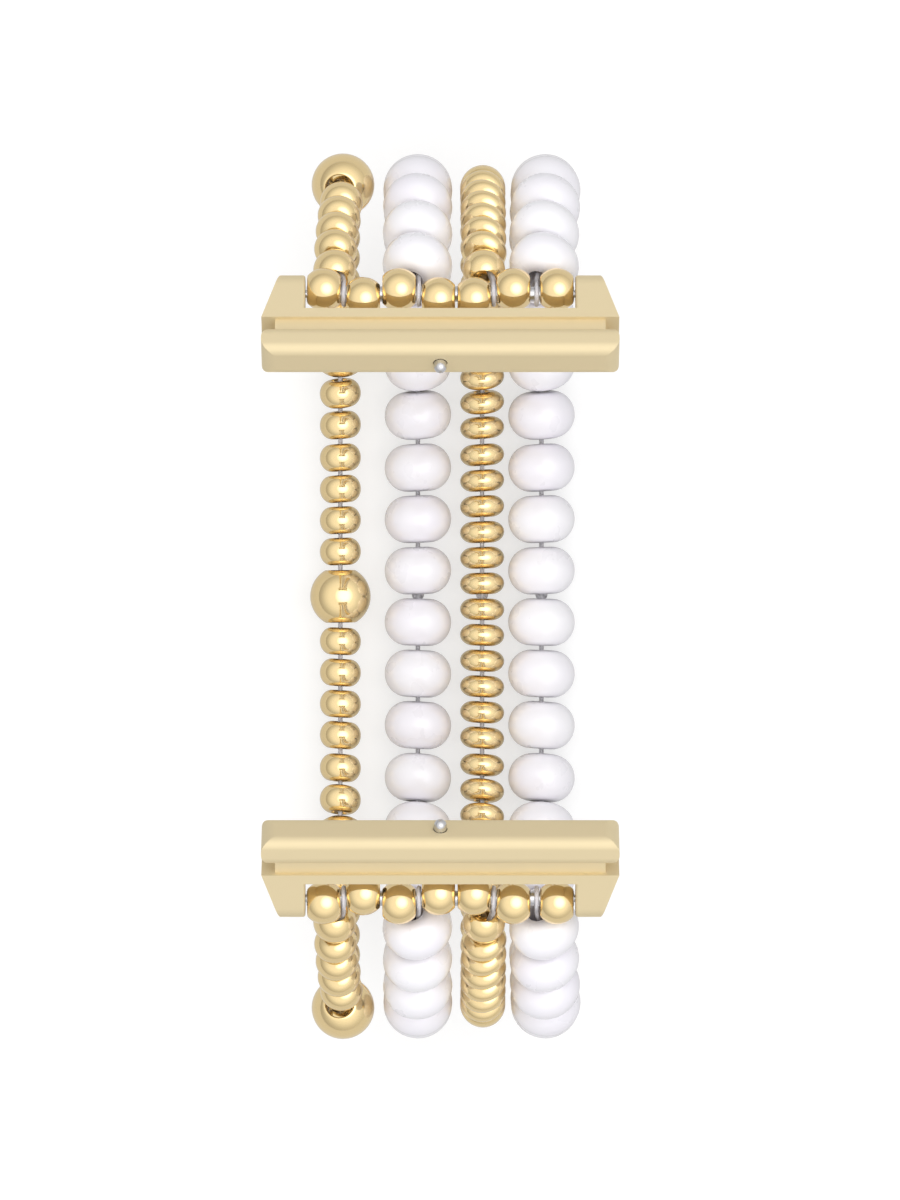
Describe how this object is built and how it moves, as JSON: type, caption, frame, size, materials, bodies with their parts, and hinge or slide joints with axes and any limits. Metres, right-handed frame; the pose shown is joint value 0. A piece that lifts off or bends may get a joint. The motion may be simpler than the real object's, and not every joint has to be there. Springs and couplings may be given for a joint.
{
  "type": "bead watch band",
  "caption": "Bead watch band: strands of gold and pearl beads on elastic between two sprung lug adapters, standing as a loop.",
  "frame": {"origin": "On the surface that the band stands on, under the middle of its bounding box.", "axes": "+X is the watch's 3 o'clock side, +Y is 12 o'clock and +Z points out of the watch's face."},
  "size_m": [0.0278, 0.0708, 0.0471],
  "materials": {
    "polished_gold": "polished",
    "matte_gold": "matte",
    "pearl": "pearl",
    "elastic": "satin",
    "steel": "satin"
  },
  "bodies": {
    "link_1": {"gold_beads_1": "polished_gold", "pearl_beads_1": "pearl", "elastic_1": "elastic", "bar_tube_12": "steel", "bar_spring_12": "steel"},
    "link_2": {"gold_beads_2": "polished_gold", "pearl_beads_2": "pearl", "elastic_2": "elastic", "gold_ball_2": "polished_gold"},
    "link_3": {"gold_beads_3": "polished_gold", "pearl_beads_3": "pearl", "elastic_3": "elastic"},
    "link_4": {"gold_beads_4": "polished_gold", "pearl_beads_4": "pearl", "elastic_4": "elastic", "gold_ball_4": "polished_gold"},
    "link_5": {"gold_beads_5": "polished_gold", "pearl_beads_5": "pearl", "elastic_5": "elastic", "gold_ball_5": "polished_gold"},
    "link_6": {"gold_beads_6": "polished_gold", "pearl_beads_6": "pearl", "elastic_6": "elastic", "gold_ball_6": "polished_gold"},
    "link_7": {"gold_beads_7": "polished_gold", "pearl_beads_7": "pearl", "elastic_7": "elastic"},
    "link_8": {"gold_beads_8": "polished_gold", "pearl_beads_8": "pearl", "elastic_8": "elastic", "gold_ball_8": "polished_gold"},
    "link_9": {"gold_beads_9": "polished_gold", "pearl_beads_9": "pearl", "elastic_9": "elastic", "bar_tube_6": "steel", "bar_spring_6": "steel"},
    "adapter_12": {"lug_adapter_12": "matte_gold", "latch_spring_12": "steel"},
    "latch_12": {"latch_plunger_12": "steel"},
    "bar_pin_left_12": {"bar_pin_left_12": "steel"},
    "bar_pin_right_12": {"bar_pin_right_12": "steel"},
    "bar_bead_1_12": {"bar_bead_1_12": "polished_gold"},
    "bar_bead_2_12": {"bar_bead_2_12": "polished_gold"},
    "bar_bead_3_12": {"bar_bead_3_12": "polished_gold"},
    "bar_bead_4_12": {"bar_bead_4_12": "polished_gold"},
    "bar_bead_5_12": {"bar_bead_5_12": "polished_gold"},
    "bar_bead_6_12": {"bar_bead_6_12": "polished_gold"},
    "bar_bead_7_12": {"bar_bead_7_12": "polished_gold"},
    "adapter_6": {"lug_adapter_6": "matte_gold", "latch_spring_6": "steel"},
    "latch_6": {"latch_plunger_6": "steel"},
    "bar_pin_left_6": {"bar_pin_left_6": "steel"},
    "bar_pin_right_6": {"bar_pin_right_6": "steel"},
    "bar_bead_1_6": {"bar_bead_1_6": "polished_gold"},
    "bar_bead_2_6": {"bar_bead_2_6": "polished_gold"},
    "bar_bead_3_6": {"bar_bead_3_6": "polished_gold"},
    "bar_bead_4_6": {"bar_bead_4_6": "polished_gold"},
    "bar_bead_5_6": {"bar_bead_5_6": "polished_gold"},
    "bar_bead_6_6": {"bar_bead_6_6": "polished_gold"},
    "bar_bead_7_6": {"bar_bead_7_6": "polished_gold"}
  },
  "joints": [
    {"name": "flex_1_2", "type": "hinge", "parent": "link_2", "child": "link_1", "pos_m": [0, 0.03166, 0.02986], "axis": [1, 0, 0], "range_deg": [-24, 5]},
    {"name": "flex_2_3", "type": "hinge", "parent": "link_3", "child": "link_2", "pos_m": [0, 0.03189, 0.01719], "axis": [1, 0, 0], "range_deg": [-24, 5]},
    {"name": "flex_3_4", "type": "hinge", "parent": "link_4", "child": "link_3", "pos_m": [0, 0.02477, 0.00677], "axis": [1, 0, 0], "range_deg": [-24, 5]},
    {"name": "flex_4_5", "type": "hinge", "parent": "link_5", "child": "link_4", "pos_m": [0, 0.0128, 0.00275], "axis": [1, 0, 0], "range_deg": [-24, 5]},
    {"name": "flex_5_6", "type": "hinge", "parent": "link_5", "child": "link_6", "pos_m": [0, -0.0128, 0.00275], "axis": [-1, 0, 0], "range_deg": [-24, 5]},
    {"name": "flex_6_7", "type": "hinge", "parent": "link_6", "child": "link_7", "pos_m": [0, -0.02477, 0.00677], "axis": [-1, 0, 0], "range_deg": [-24, 5]},
    {"name": "flex_7_8", "type": "hinge", "parent": "link_7", "child": "link_8", "pos_m": [0, -0.03189, 0.01719], "axis": [-1, 0, 0], "range_deg": [-24, 5]},
    {"name": "flex_8_9", "type": "hinge", "parent": "link_8", "child": "link_9", "pos_m": [0, -0.03166, 0.02986], "axis": [-1, 0, 0], "range_deg": [-24, 5]},
    {"name": "adapter_pivot_12", "type": "hinge", "parent": "link_1", "child": "adapter_12", "pos_m": [0, 0.0235, 0.04219], "axis": [1, 0, 0], "range_deg": [-75, 60]},
    {"name": "latch_press_12", "type": "slide", "parent": "adapter_12", "child": "latch_12", "axis": [0, 0.8192, -0.5736], "range_m": [0, 0.0008], "stiffness_N_per_m": 500, "springref_m": -0.001, "deforming": ["latch_spring_12"]},
    {"name": "pin_left_12_press", "type": "slide", "parent": "link_1", "child": "bar_pin_left_12", "axis": [1, 0, 0], "range_m": [0, 0.0012], "stiffness_N_per_m": 400, "springref_m": -0.002, "deforming": ["bar_spring_12"]},
    {"name": "pin_right_12_press", "type": "slide", "parent": "link_1", "child": "bar_pin_right_12", "axis": [-1, 0, 0], "range_m": [0, 0.0012], "stiffness_N_per_m": 400, "springref_m": -0.002, "deforming": ["bar_spring_12"]},
    {"name": "bar_bead_1_12_spin", "type": "hinge", "parent": "link_1", "child": "bar_bead_1_12", "pos_m": [-0.00905, 0.02385, 0.04219], "axis": [1, 0, 0], "continuous": true},
    {"name": "bar_bead_2_12_spin", "type": "hinge", "parent": "link_1", "child": "bar_bead_2_12", "pos_m": [-0.00599, 0.02315, 0.04219], "axis": [1, 0, 0], "continuous": true},
    {"name": "bar_bead_3_12_spin", "type": "hinge", "parent": "link_1", "child": "bar_bead_3_12", "pos_m": [-0.00321, 0.02385, 0.04219], "axis": [1, 0, 0], "continuous": true},
    {"name": "bar_bead_4_12_spin", "type": "hinge", "parent": "link_1", "child": "bar_bead_4_12", "pos_m": [-0.00015, 0.02315, 0.04219], "axis": [1, 0, 0], "continuous": true},
    {"name": "bar_bead_5_12_spin", "type": "hinge", "parent": "link_1", "child": "bar_bead_5_12", "pos_m": [0.00263, 0.02315, 0.04219], "axis": [1, 0, 0], "continuous": true},
    {"name": "bar_bead_6_12_spin", "type": "hinge", "parent": "link_1", "child": "bar_bead_6_12", "pos_m": [0.00569, 0.02385, 0.04219], "axis": [1, 0, 0], "continuous": true},
    {"name": "bar_bead_7_12_spin", "type": "hinge", "parent": "link_1", "child": "bar_bead_7_12", "pos_m": [0.00905, 0.02385, 0.04219], "axis": [1, 0, 0], "continuous": true},
    {"name": "adapter_pivot_6", "type": "hinge", "parent": "link_9", "child": "adapter_6", "pos_m": [0, -0.0235, 0.04219], "axis": [-1, 0, 0], "range_deg": [-75, 60]},
    {"name": "latch_press_6", "type": "slide", "parent": "adapter_6", "child": "latch_6", "axis": [0, -0.8192, -0.5736], "range_m": [0, 0.0008], "stiffness_N_per_m": 500, "springref_m": -0.001, "deforming": ["latch_spring_6"]},
    {"name": "pin_left_6_press", "type": "slide", "parent": "link_9", "child": "bar_pin_left_6", "axis": [1, 0, 0], "range_m": [0, 0.0012], "stiffness_N_per_m": 400, "springref_m": -0.002, "deforming": ["bar_spring_6"]},
    {"name": "pin_right_6_press", "type": "slide", "parent": "link_9", "child": "bar_pin_right_6", "axis": [-1, 0, 0], "range_m": [0, 0.0012], "stiffness_N_per_m": 400, "springref_m": -0.002, "deforming": ["bar_spring_6"]},
    {"name": "bar_bead_1_6_spin", "type": "hinge", "parent": "link_9", "child": "bar_bead_1_6", "pos_m": [-0.00905, -0.02385, 0.04219], "axis": [1, 0, 0], "continuous": true},
    {"name": "bar_bead_2_6_spin", "type": "hinge", "parent": "link_9", "child": "bar_bead_2_6", "pos_m": [-0.00599, -0.02315, 0.04219], "axis": [1, 0, 0], "continuous": true},
    {"name": "bar_bead_3_6_spin", "type": "hinge", "parent": "link_9", "child": "bar_bead_3_6", "pos_m": [-0.00321, -0.02385, 0.04219], "axis": [1, 0, 0], "continuous": true},
    {"name": "bar_bead_4_6_spin", "type": "hinge", "parent": "link_9", "child": "bar_bead_4_6", "pos_m": [-0.00015, -0.02315, 0.04219], "axis": [1, 0, 0], "continuous": true},
    {"name": "bar_bead_5_6_spin", "type": "hinge", "parent": "link_9", "child": "bar_bead_5_6", "pos_m": [0.00263, -0.02315, 0.04219], "axis": [1, 0, 0], "continuous": true},
    {"name": "bar_bead_6_6_spin", "type": "hinge", "parent": "link_9", "child": "bar_bead_6_6", "pos_m": [0.00569, -0.02385, 0.04219], "axis": [1, 0, 0], "continuous": true},
    {"name": "bar_bead_7_6_spin", "type": "hinge", "parent": "link_9", "child": "bar_bead_7_6", "pos_m": [0.00905, -0.02385, 0.04219], "axis": [1, 0, 0], "continuous": true}
  ]
}
